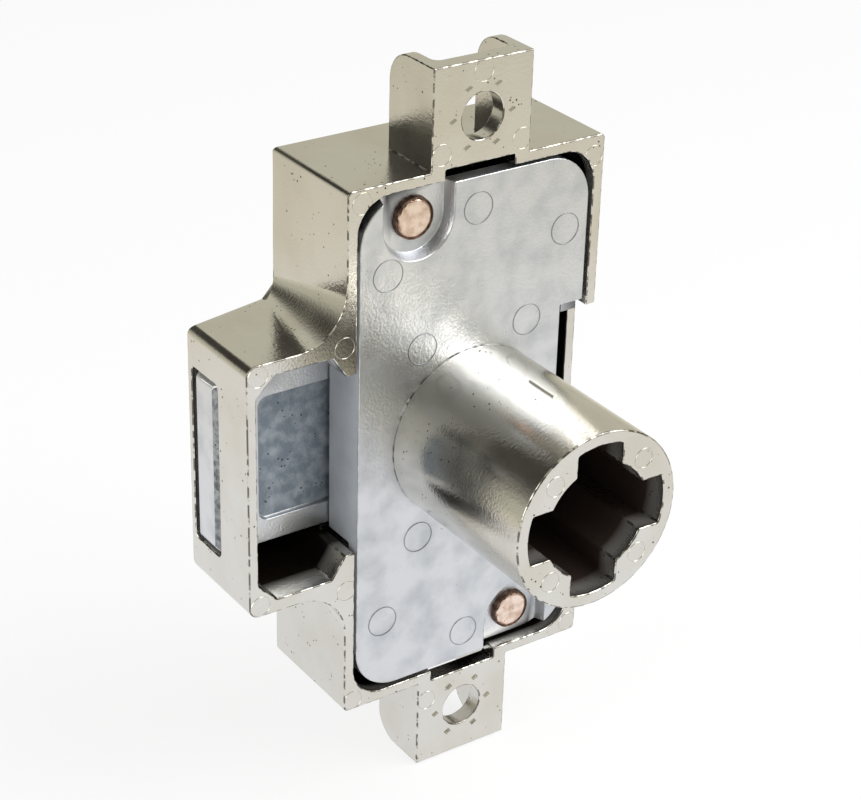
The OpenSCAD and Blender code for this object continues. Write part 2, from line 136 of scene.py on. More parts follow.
@dataclass(frozen=True)
class MetalFinish:
    """Surface of a metal piece: cloudy tone, fine grain, scattered pits and broken dark edge lines.

    The real grain and the smallest pits are finer than a pixel of the render, so they are drawn as
    coarse as they need to be to show: the grain 0.12 to 0.3 mm wide, the pits up to about 0.1 mm in
    radius.
    """

    name: str
    tone: str
    stain: str
    pit: str
    stain_mm: float = 7.0
    stain_amount: float = 0.5
    grain_mm: float = 0.3
    grain_bump: float = 0.1
    pit_mm: float = 0.6
    pit_share: float = 0.19
    chip_mm: float = 0.9
    roughness: tuple[float, float] = (0.12, 0.26)
    metallic: float = 1.0
    edge_dark: float = 0.6
    # Colour and metallic value of the painted shade in hollows, at its darkest
    painted_shade_colour: str = "15100C"
    painted_shade_metallic: float = 0.2
    cloud_range: tuple[float, float] = (0.42, 0.68)
    patch_range: tuple[float, float] = (0.44, 0.64)
    chip_range: tuple[float, float] = (0.46, 0.54)
    rough_range: tuple[float, float] = (0.3, 0.7)
    patch_pits: float = 3.0
    pit_wall: float = 0.04
    bump_mm: float = 0.1

    def material(self) -> bpy.types.Material:
        """Build the material, or find it if it is built.

        Returns:
            The material.
        """
        found = bpy.data.materials.get(self.name)
        if found:
            return found
        made = bpy.data.materials.new(self.name)
        made.use_nodes = True
        tree = made.node_tree
        tree.nodes.clear()
        place = add_node(tree, "ShaderNodeTexCoord").outputs["Object"]
        cloud = add_node(
            tree, "ShaderNodeTexNoise", Vector=place, Scale=1 / (self.stain_mm * MM), Detail=4.0
        )
        patch = add_node(
            tree,
            "ShaderNodeTexNoise",
            Vector=place,
            Scale=1 / (self.patch_pits * self.pit_mm * MM),
            Detail=2.0,
        )
        grain = add_node(
            tree, "ShaderNodeTexNoise", Vector=place, Scale=1 / (self.grain_mm * MM), Detail=3.0
        )
        cell = add_node(tree, "ShaderNodeTexVoronoi", Vector=place, Scale=1 / (self.pit_mm * MM))
        stained = add_node(
            tree,
            "ShaderNodeMapRange",
            Value=cloud.outputs["Fac"],
            From_Min=self.cloud_range[0],
            From_Max=self.cloud_range[1],
            To_Max=self.stain_amount,
        )
        reach = add_node(
            tree,
            "ShaderNodeMapRange",
            Value=patch.outputs["Fac"],
            From_Min=self.patch_range[0],
            From_Max=self.patch_range[1],
            To_Max=self.pit_share,
        )
        inside = add_node(
            tree,
            "ShaderNodeMath",
            {"operation": "SUBTRACT"},
            i0=reach.outputs[0],
            i1=cell.outputs["Distance"],
        )
        pit = add_node(
            tree, "ShaderNodeMapRange", Value=inside.outputs[0], From_Min=0.0, From_Max=self.pit_wall
        )
        edge = add_node(tree, "ShaderNodeAttribute", {"attribute_name": EDGE})
        chips = add_node(
            tree, "ShaderNodeTexNoise", Vector=place, Scale=1 / (self.chip_mm * MM), Detail=2.0
        )
        broken = add_node(
            tree,
            "ShaderNodeMapRange",
            Value=chips.outputs["Fac"],
            From_Min=self.chip_range[0],
            From_Max=self.chip_range[1],
        )
        lined = add_node(
            tree,
            "ShaderNodeMath",
            {"operation": "MULTIPLY"},
            i0=edge.outputs["Fac"],
            i1=broken.outputs[0],
        )
        worn = add_node(
            tree, "ShaderNodeMath", {"operation": "MULTIPLY"}, i0=lined.outputs[0], i1=self.edge_dark
        )
        toned = add_node(
            tree,
            "ShaderNodeMix",
            {"data_type": "RGBA"},
            i0=stained.outputs[0],
            i6=linear(self.tone),
            i7=linear(self.stain),
        )
        pitted = add_node(
            tree, "ShaderNodeMath", {"operation": "MAXIMUM"}, i0=pit.outputs[0], i1=worn.outputs[0]
        )
        colour = add_node(
            tree,
            "ShaderNodeMix",
            {"data_type": "RGBA"},
            i0=pitted.outputs[0],
            i6=toned.outputs[2],
            i7=linear(self.pit),
        )
        rough = add_node(
            tree,
            "ShaderNodeMapRange",
            Value=cloud.outputs["Fac"],
            From_Min=self.rough_range[0],
            From_Max=self.rough_range[1],
            To_Min=self.roughness[0],
            To_Max=self.roughness[1],
        )
        height = add_node(
            tree,
            "ShaderNodeMath",
            {"operation": "SUBTRACT"},
            i0=grain.outputs["Fac"],
            i1=pit.outputs[0],
        )
        bump = add_node(
            tree,
            "ShaderNodeBump",
            Strength=self.grain_bump,
            Distance=self.bump_mm * MM,
            Height=height.outputs[0],
        )
        # Painted shade: where the mesh's shade attribute says, hollows are darkened towards the shade
        # colour and made less metallic
        painted_shade_share = add_node(tree, "ShaderNodeAttribute", {"attribute_name": PAINTED_SHADE})
        sunk = add_node(
            tree,
            "ShaderNodeMix",
            {"data_type": "RGBA"},
            i0=painted_shade_share.outputs["Fac"],
            i6=colour.outputs[2],
            i7=linear(self.painted_shade_colour),
        )
        bare = add_node(
            tree,
            "ShaderNodeMapRange",
            Value=painted_shade_share.outputs["Fac"],
            To_Min=self.metallic,
            To_Max=min(self.metallic, self.painted_shade_metallic),
        )
        shader = add_node(
            tree,
            "ShaderNodeBsdfPrincipled",
            Base_Color=sunk.outputs[2],
            Metallic=bare.outputs[0],
            Roughness=rough.outputs[0],
            Normal=bump.outputs["Normal"],
        )
        add_node(tree, "ShaderNodeOutputMaterial", Surface=shader.outputs["BSDF"])
        return made


# Bright nickel over a zinc die casting, unpolished: a warm grey mirror that blurs what it shows a little
NICKEL = MetalFinish(
    "nickel_plated_zinc",
    tone="D8D6D1",
    stain="CBC6B8",
    pit="3E372E",
    edge_dark=0.8,
    grain_bump=0.16,
)
# The same plating on the barrel, whose bore gets painted shade of a dark brown that still shows a little
BORE_NICKEL = replace(NICKEL, name="nickel_with_greased_bore", painted_shade_colour="403530")
# Zinc as it leaves the die: blue-grey, cloudy and almost matt
ZINC = MetalFinish(
    "bare_cast_zinc",
    tone="D8DADE",
    stain="BEC2C8",
    pit="85888B",
    stain_mm=3.2,
    stain_amount=0.7,
    grain_mm=0.25,
    grain_bump=0.35,
    pit_share=0.1,
    roughness=(0.3, 0.46),
    edge_dark=0.25,
)
# The floor of the bolt's pocket: the same zinc, dull and blue-grey where no tool touched it
POCKET_ZINC = MetalFinish(
    "dull_blue_zinc",
    tone="7E8994",
    stain="B6BEC7",
    pit="3C444C",
    stain_mm=1.5,
    stain_amount=0.8,
    grain_mm=0.25,
    grain_bump=0.4,
    pit_share=0.2,
    roughness=(0.4, 0.55),
    metallic=0.5,
)
# The flange beside the window: the same zinc, nearly matt and lighter, with painted light so it stays
# light grey in the shade
LIT_FLANGE_ZINC = MetalFinish(
    "oxidised_zinc",
    tone="CBD0D6",
    stain="B7BCC3",
    pit="70757B",
    stain_mm=3.0,
    grain_mm=0.25,
    grain_bump=0.2,
    pit_share=0.05,
    roughness=(0.4, 0.5),
    metallic=0.12,
    edge_dark=0.2,
)
# Front band of the bolt's end: painted dark and blotchy as the shade of its rounded front edge
SHADED_BAND_ZINC = MetalFinish(
    "scuffed_zinc",
    tone="9C9FA3",
    stain="60636A",
    pit="2C2E33",
    stain_mm=0.6,
    stain_amount=0.9,
    grain_mm=0.12,
    grain_bump=0.6,
    roughness=(0.35, 0.6),
)
# The driver, deep in the barrel's bore: zinc painted nearly black as the bore's shade, with brown specks
# and a dull shine
DARK_ZINC = MetalFinish(
    "tarnished_zinc",
    tone="3A332C",
    stain="1E1A17",
    pit="70604A",
    stain_mm=2.0,
    roughness=(0.4, 0.6),
)
# Hard-drawn spring and pin steel: cool grey, with a soft even shine
STEEL = MetalFinish(
    "bright_steel",
    tone="B4B7BA",
    stain="9EA1A5",
    pit="60646A",
    roughness=(0.25, 0.35),
)
# Copper, hammered over: pale and matt in the middle
COPPER = MetalFinish(
    "formed_copper",
    tone="F2DFD2",
    stain="C4A48E",
    pit="8A6450",
    stain_mm=1.0,
    stain_amount=0.8,
    pit_share=0.12,
    roughness=(0.3, 0.5),
)
# Raised rings on the bare zinc, painted darker grey as the shade along their thin steps
SHADED_RIDGE_ZINC = MetalFinish(
    "rubbed_zinc_ridge",
    tone="9DA0A5",
    stain="7F8388",
    pit="5A5D61",
    roughness=(0.35, 0.5),
)
# The scale and dirt that forming leaves round a rivet's end: brown, blotchy and dull
RIVET_DIRT = MetalFinish(
    "scaled_copper",
    tone="54423A",
    stain="B09484",
    pit="241A16",
    stain_mm=0.5,
    roughness=(0.45, 0.7),
)


def mesh_of(node: str) -> bmesh.types.BMesh:
    """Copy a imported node's mesh, joined at its seams and with flat faces merged.

    Args:
        node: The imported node's name.

    Returns:
        A new mesh in the row frame, to be freed by the caller.
    """
    bm = bmesh.new()
    bm.from_mesh(bpy.data.objects[node].data)
    bmesh.ops.remove_doubles(bm, verts=bm.verts, dist=SEAM)
    bmesh.ops.dissolve_limit(
        bm, angle_limit=math.radians(FLAT_ANGLE), verts=bm.verts, edges=bm.edges
    )
    return bm


def new_object(name: str, bm: bmesh.types.BMesh, *finishes: MetalFinish) -> bpy.types.Object:
    """Turn a mesh into an object with its finishes, and free the mesh.

    Args:
        name: The new object's name.
        bm: The mesh.
        finishes: What it is dressed in, in the order of its faces' material numbers.

    Returns:
        The new object, at the origin.
    """
    mesh = bpy.data.meshes.new(name)
    bm.to_mesh(mesh)
    bm.free()
    for finish in finishes:
        mesh.materials.append(finish.material())
    made = bpy.data.objects.new(name, mesh)
    bpy.context.scene.collection.objects.link(made)
    return made


def settle(piece: bpy.types.Object) -> None:
    """Apply every modifier of a piece to its mesh.

    Args:
        piece: The piece to change.
    """
    graph = bpy.context.evaluated_depsgraph_get()
    graph.update()
    done = bpy.data.meshes.new_from_object(piece.evaluated_get(graph), depsgraph=graph)
    old = piece.data
    piece.modifiers.clear()
    piece.data = done
    done.name = old.name
    bpy.data.meshes.remove(old)


def draw_back(mesh: bpy.types.Mesh, surface: BVHTree, radius: float) -> None:
    """Put vertices that a bevel threw clear of the solid, at very short edges, back on its surface.

    Args:
        mesh: The bevelled mesh.
        surface: The solid before the bevel.
        radius: Radius of the bevel, in metres.
    """
    lifted = 0.02 * radius
    thrown = 0.6 * radius
    for vertex in mesh.vertices:
        place, normal, _, far = surface.find_nearest(vertex.co)
        outside = (vertex.co - place).dot(normal) > lifted
        if far > thrown or outside:
            vertex.co = place


def paint_hollow_shade(
    piece: bpy.types.Object, depth: Callable[[Vector], float], cuts_mm: tuple[float, ...]
) -> None:
    """Write the attribute of painted shade, which darkens a hollow's colour to stand in for its shade.

    Args:
        piece: The piece to change.
        depth: Gives 0 for open metal to 1 for the dark of a hollow, from a place in millimetres.
        cuts_mm: Where along the barrel's axis the hollow's faces are cut, so that the shade can
            change there.
    """
    mesh = piece.data
    bm = bmesh.new()
    bm.from_mesh(mesh)
    for cut in cuts_mm:
        faces = [f for f in bm.faces if max(depth(v.co / MM) for v in f.verts) > 0]
        edges = dict.fromkeys(e for f in faces for e in f.edges)
        verts = dict.fromkeys(v for f in faces for v in f.verts)
        bmesh.ops.bisect_plane(
            bm,
            geom=[*faces, *edges, *verts],
            plane_co=(0, cut * MM, 0),
            plane_no=(0, 1, 0),
            dist=CUT,
        )
    bm.to_mesh(mesh)
    bm.free()
    marked = mesh.attributes.new(PAINTED_SHADE, "FLOAT", "POINT")
    shades = [min(max(depth(v.co / MM), 0.0), 1.0) for v in mesh.vertices]
    marked.data.foreach_set("value", shades)


def sweep(bm: bmesh.types.BMesh, rows: list[list[Vector]], closed: bool) -> None:
    """Join a row of like profiles to a solid, with caps where its ends are open.

    Args:
        bm: The mesh to add to.
        rows: The profiles, each a closed loop of points.
        closed: Whether the last profile joins the first.
    """
    made = [[bm.verts.new(point) for point in row] for row in rows]
    count = len(rows[0])
    pairs = list(zip(made, made[1:]))
    if closed:
        pairs.append((made[-1], made[0]))
    faces = [
        bm.faces.new((one[i], one[(i + 1) % count], two[(i + 1) % count], two[i]))
        for one, two in pairs
        for i in range(count)
    ]
    if not closed:
        faces += [bm.faces.new(made[0]), bm.faces.new(made[-1])]
    bmesh.ops.recalc_face_normals(bm, faces=faces)


def soften(piece: bpy.types.Object, radius_mm: float, angle: float = 30.0, steps: int = 3) -> None:
    """Round the sharp edges of a piece, and mark the rounded faces with the edge attribute.

    Args:
        piece: The piece to change.
        radius_mm: Radius of the rounding.
        angle: Least angle of an edge that is rounded, in degrees.
        steps: Faces across the rounding.
    """
    solid = bmesh.new()
    solid.from_mesh(piece.data)
    surface = BVHTree.FromBMesh(solid)
    solid.free()
    plain = len(piece.data.materials)
    for material in list(piece.data.materials):
        piece.data.materials.append(material)
    bevel = piece.modifiers.new("soften", "BEVEL")
    bevel.width = radius_mm * MM
    bevel.segments = steps
    bevel.limit_method = "ANGLE"
    bevel.angle_limit = math.radians(angle)
    bevel.use_clamp_overlap = False
    bevel.miter_outer = "MITER_ARC"
    bevel.material = plain
    settle(piece)
    mesh = piece.data
    draw_back(mesh, surface, radius_mm * MM)
    marked = mesh.attributes.new(EDGE, "FLOAT", "FACE")
    marked.data.foreach_set("value", [float(p.material_index >= plain) for p in mesh.polygons])
    for polygon in mesh.polygons:
        polygon.material_index %= plain
    while len(mesh.materials) > plain:
        mesh.materials.pop()
    mesh.shade_smooth()
    normals = piece.modifiers.new("normals", "WEIGHTED_NORMAL")
    normals.keep_sharp = True


@dataclass
class PhotoCamera:
    """The camera that took the photograph, placed from the lock's edges."""

    place_mm: Vector = field(default_factory=lambda: Vector((-113.05, -155.37, 104.97)))
    azimuth: float = -34.835
    elevation: float = 27.816
    roll: float = 1.584
    focal_px: float = 2249.7
    frame_px: tuple[int, int] = (861, 800)
    centre_px: tuple[float, float] = (430.7, 396.4)
    sensor_mm: float = 36.0
    clip_mm: tuple[float, float] = (10.0, 10000.0)

    def build(self) -> bpy.types.Object:
        """Add the camera and make it the scene's.

        Returns:
            The camera object.
        """
        wide, high = self.frame_px
        data = bpy.data.cameras.new("photo_camera")
        data.sensor_width = self.sensor_mm
        data.lens = self.focal_px / wide * self.sensor_mm
        data.shift_x = (wide / 2 - self.centre_px[0]) / wide
        data.shift_y = (self.centre_px[1] - high / 2) / wide
        data.clip_start, data.clip_end = (end * MM for end in self.clip_mm)
        camera = bpy.data.objects.new("photo_camera", data)
        bpy.context.scene.collection.objects.link(camera)
        turn = math.radians(self.azimuth)
        tilt = math.radians(self.elevation)
        flat = math.cos(tilt)
        back = Vector((math.sin(turn) * flat, -math.cos(turn) * flat, math.sin(tilt)))
        right = Vector((0, 0, 1)).cross(back).normalized()
        up = back.cross(right)
        level = Matrix((right, up, back)).transposed()
        roll = Matrix.Rotation(math.radians(self.roll), 4, "Z")
        camera.matrix_world = Matrix.Translation(self.place_mm * MM) @ level.to_4x4() @ roll
        bpy.context.scene.camera = camera
        return camera


@dataclass
class Studio:
    """White floor, two soft lamps and a room that only the metal shows."""

    floor_size: float = 3.0
    floor_drop_mm: float = 0.2
    floor_glow: float = 0.8
    paper: str = "F2F2F2"
    white: str = "FFFFFF"
    key_strength: float = 2.3
    fill_share: float = 0.5
    key_way: tuple[float, float, float] = (0.5, -0.47, 0.73)
    fill_way: tuple[float, float, float] = (-0.95, 0.05, 0.3)
    lamp_far: float = 0.5
    lamp_size: float = 0.45
    world_strength: float = 0.5
    near_mm: float = 85.0
    middle_mm: float = 150.0
    far_mm: float = 300.0
    near: str = "FFFFFF"
    middle: str = "E9E0CA"
    far: str = "C5C2AA"
    room: str = "D0CDBC"
    dark: str = "3E3C35"
    dark_sides: tuple[tuple[tuple[float, float, float], float, float], ...] = (
        ((-0.47, 0.73, 0.50), 32.0, 17.0),
        ((-0.42, -0.72, 0.55), 30.0, 14.0),
    )

    def build(self) -> None:
        """Add the floor, the lamps and the world."""
        low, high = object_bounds()
        self.floor(low.z - self.floor_drop_mm * MM)
        middle = (low + high) / 2
        self.lamp("key", middle, Vector(self.key_way), self.key_strength)
        self.lamp("fill", middle, Vector(self.fill_way), self.fill_share * self.key_strength)
        self.world()

    def floor(self, height: float) -> None:
        """Add the floor, which keeps the lock's shadow.

        The camera sees it white. Metal mirrors it white near the lock and warmer farther off.

        Args:
            height: Where it lies.
        """
        bm = bmesh.new()
        bmesh.ops.create_grid(bm, x_segments=1, y_segments=1, size=self.floor_size / 2)
        bmesh.ops.translate(bm, verts=bm.verts, vec=(0, 0, height))
        mesh = bpy.data.meshes.new("floor")
        bm.to_mesh(mesh)
        bm.free()
        made = bpy.data.materials.new("white_paper")
        made.use_nodes = True
        tree = made.node_tree
        tree.nodes.clear()
        path = add_node(tree, "ShaderNodeLightPath")
        camera, glossy = path.outputs["Is Camera Ray"], path.outputs["Is Glossy Ray"]
        seen = add_node(tree, "ShaderNodeMath", {"operation": "MAXIMUM"}, i0=camera, i1=glossy)
        share = add_node(
            tree, "ShaderNodeMath", {"operation": "MULTIPLY"}, i0=seen.outputs[0], i1=self.floor_glow
        )
        place = add_node(tree, "ShaderNodeNewGeometry").outputs["Position"]
        flat = add_node(tree, "ShaderNodeVectorMath", {"operation": "MULTIPLY"}, i0=place, i1=(1, 1, 0))
        out = add_node(tree, "ShaderNodeVectorMath", {"operation": "LENGTH"}, i0=flat.outputs[0])
        tint = linear(self.near)
        for start, end, shade in (
            (self.near_mm, self.middle_mm, self.middle),
            (self.middle_mm, self.far_mm, self.far),
        ):
            step = add_node(
                tree,
                "ShaderNodeMapRange",
                Value=out.outputs["Value"],
                From_Min=start * MM,
                From_Max=end * MM,
            )
            tint = add_node(
                tree,
                "ShaderNodeMix",
                {"data_type": "RGBA"},
                i0=step.outputs[0],
                i6=tint,
                i7=linear(shade),
            ).outputs[2]
        mirrored = add_node(
            tree, "ShaderNodeMix", {"data_type": "RGBA"}, i0=camera, i6=tint, i7=linear(self.white)
        )
        paper = add_node(tree, "ShaderNodeBsdfDiffuse", Color=linear(self.paper))
        glow = add_node(tree, "ShaderNodeEmission", Color=mirrored.outputs[2], Strength=1.0)
        mixed = add_node(
            tree, "ShaderNodeMixShader", i0=share.outputs[0], i1=paper.outputs[0], i2=glow.outputs[0]
        )
        add_node(tree, "ShaderNodeOutputMaterial", Surface=mixed.outputs[0])
        mesh.materials.append(made)
        floor = bpy.data.objects.new("floor", mesh)
        bpy.context.scene.collection.objects.link(floor)
        floor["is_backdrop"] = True

    def lamp(self, name: str, aim: Vector, way: Vector, strength: float) -> None:
        """Add one soft box.

        Args:
            name: Its name.
            aim: What it lights.
            way: The way from there to the lamp.
            strength: Its power in watts.
        """
        data = bpy.data.lights.new(name, "AREA")
        data.shape = "DISK"
        data.size = self.lamp_size
        data.energy = strength
        lamp = bpy.data.objects.new(name, data)
        lamp.location = aim + way.normalized() * self.lamp_far
        lamp.rotation_euler = way.to_track_quat("Z", "Y").to_euler()
        bpy.context.scene.collection.objects.link(lamp)

    def world(self) -> None:
        """Add the world.

        The camera sees white, metal mirrors a warm grey room with two dark sides, and a plain grey
        lights the rest.
        """
        world = bpy.data.worlds.new("studio")
        bpy.context.scene.world = world
        world.use_nodes = True
        tree = world.node_tree
        tree.nodes.clear()
        path = add_node(tree, "ShaderNodeLightPath")
        way = add_node(tree, "ShaderNodeTexCoord").outputs["Generated"]
        plain = (self.world_strength, self.world_strength, self.world_strength, 1.0)
        room = linear(self.room)
        for side, outer, inner in self.dark_sides:
            near = add_node(
                tree,
                "ShaderNodeVectorMath",
                {"operation": "DOT_PRODUCT"},
                i0=way,
                i1=tuple(Vector(side).normalized()),
            )
            shade = add_node(
                tree,
                "ShaderNodeMapRange",
                Value=near.outputs["Value"],
                From_Min=math.cos(math.radians(outer)),
                From_Max=math.cos(math.radians(inner)),
            )
            room = add_node(
                tree,
                "ShaderNodeMix",
                {"data_type": "RGBA"},
                i0=shade.outputs[0],
                i6=room,
                i7=linear(self.dark),
            ).outputs[2]
        mirrored = add_node(
            tree,
            "ShaderNodeMix",
            {"data_type": "RGBA"},
            i0=path.outputs["Is Glossy Ray"],
            i6=plain,
            i7=room,
        )
        seen = add_node(
            tree,
            "ShaderNodeMix",
            {"data_type": "RGBA"},
            i0=path.outputs["Is Camera Ray"],
            i6=mirrored.outputs[2],
            i7=linear(self.white),
        )
        light = add_node(tree, "ShaderNodeBackground", Color=seen.outputs[2], Strength=1.0)
        add_node(tree, "ShaderNodeOutputWorld", Surface=light.outputs[0])


@dataclass
class PackedPiece:
    """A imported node, copied with its edges rounded and dressed in its finishes."""

    node: str
    body: str
    slot: Slot
    finish: MetalFinish
    edge_mm: float = 0.12
    other_finishes: tuple[MetalFinish, ...] = ()
    cuts_mm: tuple[float, ...] = ()

    def mark(self, bm: bmesh.types.BMesh) -> None:
        """Mark the faces that have another finish; a plain piece has none."""

    def depth(self, place: Vector) -> float:
        """Give the shade at a place in millimetres; a plain piece is open metal."""
        return 0.0

    def build(self) -> bpy.types.Object:
        """Build the piece and let it ride on its body.

        Returns:
            The new piece.
        """
        bm = mesh_of(self.node)
        self.mark(bm)
        piece = new_object(f"{self.node}_cast", bm, self.finish, *self.other_finishes)
        soften(piece, self.edge_mm)
        paint_hollow_shade(piece, self.depth, self.cuts_mm)
        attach(piece, self.body)
        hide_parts(self.node)
        return piece


@dataclass
class Case(PackedPiece):
    """The hollow case: bright outside, with painted shade in the plate's gap and in the nose's chambers.
    """

    foot_x: tuple[float, float] = (-16.2, -14.4)
    foot_z: tuple[float, float] = (12.35, 13.35)
    foot_wide: float = 0.15
    foot_long: float = 0.5
    foot_cuts: int = 4
    slack: float = 0.01
    rear_y: float = 12.8
    rear_r: float = 1.2
    inner_half: tuple[float, float] = (13.4, 27.0)
    inner_floor: float = 12.6
    inner_starts: float = 0.2
    inner_fades_over: float = 1.2
    chamber_x: tuple[float, float] = (-24.3, -12.5)
    chamber_half: float = 12.1
    chamber_floor: float = 10.6
    chamber_starts: float = 0.8
    chamber_fades_over: float = 2.2

    def mark(self, bm: bmesh.types.BMesh) -> None:
        """Let the nose's rear rounding run out along each blend's foot, where the solid has a small step.

        Args:
            bm: The case's mesh.
        """
        start, end = self.foot_x
        low, high = self.foot_z
        feet = [
            e
            for e in bm.edges
            if all(
                start < v.co.x / MM < start + self.foot_wide
                and v.co.y / MM > self.rear_y
                and low - self.slack < abs(v.co.z / MM) < high + self.slack
                for v in e.verts
            )
            and e.calc_length() > self.foot_long * MM
        ]
        bmesh.ops.subdivide_edges(bm, edges=feet, cuts=self.foot_cuts)
        for vert in bm.verts:
            x, y, z = vert.co / MM
            if start < x < end and y > self.rear_y and abs(z) > low:
                out = min(abs(z), high) - (high - self.rear_r)
                sag = self.rear_r - math.sqrt(self.rear_r**2 - min(out, self.rear_r) ** 2)
                vert.co.y -= sag * (end - x) / (end - start) * MM

    def depth(self, place: Vector) -> float:
        """Give the shade of the hollow and of the chambers beside the bolt.

        Args:
            place: Where, in millimetres.

        Returns:
            0 for open metal to 1 for the dark.
        """
        wide, high = self.inner_half
        if abs(place.x) < wide and abs(place.z) < high and place.y < self.inner_floor:
            return (place.y - self.inner_starts) / self.inner_fades_over
        left, right = self.chamber_x
        beside_bolt = left < place.x < right and abs(place.z) < self.chamber_half
        if beside_bolt and place.y < self.chamber_floor:
            return (place.y - self.chamber_starts) / self.chamber_fades_over
        return 0.0


@dataclass
class BasePlate(PackedPiece):
    """The plate that closes the case: its side walls get painted shade, as they lie in the dark of the
    gap.
    """

    wall_x: float = 12.5
    wall_z: float = 26.2
    flange_half: float = 12.0
    flange_x: float = -12.8
    notch_half: float = 5.9
    notch_y: float = 2.5
    wall_starts: float = 0.4
    wall_fades_over: float = 1.0
    side_on: float = 0.9

    def mark(self, bm: bmesh.types.BMesh) -> None:
        """Mark the flange's face beside the window, which gets the painted light.

        Args:
            bm: The plate's mesh.
        """
        for face in bm.faces:
            middle = face.calc_center_median() / MM
            on_flange = middle.x < self.flange_x and abs(middle.z) < self.flange_half
            if on_flange and face.normal.x < -self.side_on:
                face.material_index = 1

    def depth(self, place: Vector) -> float:
        """Give the shade of the side walls, but not of the flange beside the window.

        Args:
            place: Where, in millimetres.

        Returns:
            0 for open metal to 1 for the dark.
        """
        if place.x < 0 and abs(place.z) < self.flange_half:
            return 0.0
        under_lug = abs(place.x) < self.notch_half and place.y < self.notch_y
        if abs(place.x) > self.wall_x or (abs(place.z) > self.wall_z and not under_lug):
            return (place.y - self.wall_starts) / self.wall_fades_over
        return 0.0


@dataclass
class Barrel(PackedPiece):
    """The slotted barrel: bright outside, with painted shade a little way behind its mouth."""

    bore_r: float = 7.95
    mouth_y: float = -19.9
    dark_after: float = 2.5
    mark_height: float = 0.05
    slack: float = 0.01

    def mark(self, bm: bmesh.types.BMesh) -> None:
        """Set the end face back by the height of the marks on it, so that they end at the barrel's length.

        Args:
            bm: The barrel's mesh.
        """
        end = min(vert.co.y for vert in bm.verts)
        for vert in bm.verts:
            if vert.co.y < end + self.slack * MM:
                vert.co.y += self.mark_height * MM

    def depth(self, place: Vector) -> float:
        """Give the shade of the bore at a place in millimetres."""
        in_bore = math.hypot(place.x, place.z) < self.bore_r
        return (place.y - self.mouth_y) / self.dark_after if in_bore else 0.0


@dataclass
class Bolt(PackedPiece):
    """The bolt: dull in its pocket, with painted shade on the front band of its end."""

    pocket_y: float = 6.05
    pocket_x: tuple[float, float] = (-20.6, -6.5)
    pocket_half: float = 6.65
    end_x: float = -25.0
    end_long: float = 1.0
    band_y: float = 6.5
    band_long: float = 0.6
    slack: float = 0.1
    side_on: float = 0.3

    def mark(self, bm: bmesh.types.BMesh) -> None:
        """Mark the pocket's floor and the band along the end's front edge.

        Args:
            bm: The bolt's mesh.
        """
        ends = [f for f in bm.faces if f.calc_center_median().x / MM < self.end_x + self.end_long]
        edges = dict.fromkeys(e for f in ends for e in f.edges)
        verts = dict.fromkeys(v for f in ends for v in f.verts)
        bmesh.ops.bisect_plane(
            bm,
            geom=[*ends, *edges, *verts],
            plane_co=(0, self.band_y * MM, 0),
            plane_no=(0, 1, 0),
            dist=CUT,
        )
        left, right = self.pocket_x
        for face in bm.faces:
            middle = face.calc_center_median() / MM
            in_pocket = left < middle.x < right and abs(middle.z) < self.pocket_half
            at_end = middle.x < self.end_x + self.band_long and middle.y < self.band_y
            if in_pocket and abs(middle.y - self.pocket_y) < self.slack:
                face.material_index = 1
            # The front band of the end gets the painted shade of its rounded front edge
            elif at_end and face.normal.x < -self.side_on:
                face.material_index = 2


@dataclass
class EjectorMarks:
    """Thin raised rings that the die's ejector pins leave, whole or cut off where the metal ends."""

    name: str
    slot: Slot
    finish: MetalFinish
    face_y: float
    places: tuple[tuple[float, float], ...]
    radius: float = 1.6
    width: float = 0.13
    height: float = 0.05
    crest: float = 0.5
    sunk: float = 0.04
    steps: int = 48
    look_from: float = 1.0
    slack: float = 0.02

    def build(self, ground: BVHTree) -> bpy.types.Object:
        """Build the rings of one face.

        Args:
            ground: The pieces that the rings may stand on.

        Returns:
            The new piece.
        """
        bm = bmesh.new()
        for x, z in self.places:
            self.ring(bm, ground, x, z)
        piece = new_object(self.name, bm, self.finish)
        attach(piece, "housing")
        return piece

    def ring(self, bm: bmesh.types.BMesh, ground: BVHTree, x: float, z: float) -> None:
        """Add one ring, left out where no metal lies under it.

        Args:
            bm: The mesh to add to.
            ground: The pieces that it may stand on.
            x: Its middle, to the right.
            z: Its middle, upwards.
        """
        profile = (
            (1, self.sunk),
            (self.crest, -self.height),
            (-self.crest, -self.height),
            (-1, self.sunk),
        )
        middle = Vector((x, self.face_y, z))
        rows = []
        for i in range(self.steps):
            turn = 2 * math.pi * i / self.steps
            out = Vector((math.cos(turn), 0, math.sin(turn)))
            rows.append(
                [
                    (middle + out * (self.radius + side * self.width / 2) + Vector((0, lift, 0))) * MM
                    for side, lift in profile
                ]
            )
        held = [all(self.stands(ground, point) for point in row) for row in rows]
        if all(held):
            sweep(bm, rows, closed=True)
            return
        if not any(held):
            LOG.warning("%s: no metal under the ring at %.1f, %.1f", self.name, x, z)
            return
        first = next(i for i in range(self.steps) if held[i] and not held[i - 1])
        run: list[list[Vector]] = []
        for i in range(first, first + self.steps + 1):
            if i < first + self.steps and held[i % self.steps]:
                run.append(rows[i % self.steps])
                continue
            if len(run) > 2:
                sweep(bm, run, closed=False)
            run = []

    def stands(self, ground: BVHTree, point: Vector) -> bool:
        """Tell whether metal lies under a point of the ring at the height of its face.

        Args:
            ground: The pieces that the ring may stand on.
            point: The point, in metres.

        Returns:
            Whether there is metal.
        """
        start = Vector((point.x, (self.face_y - self.look_from) * MM, point.z))
        hit = ground.ray_cast(start, Vector((0, 1, 0)), 2 * self.look_from * MM)[0]
        return hit is not None and abs(hit.y / MM - self.face_y) < self.slack


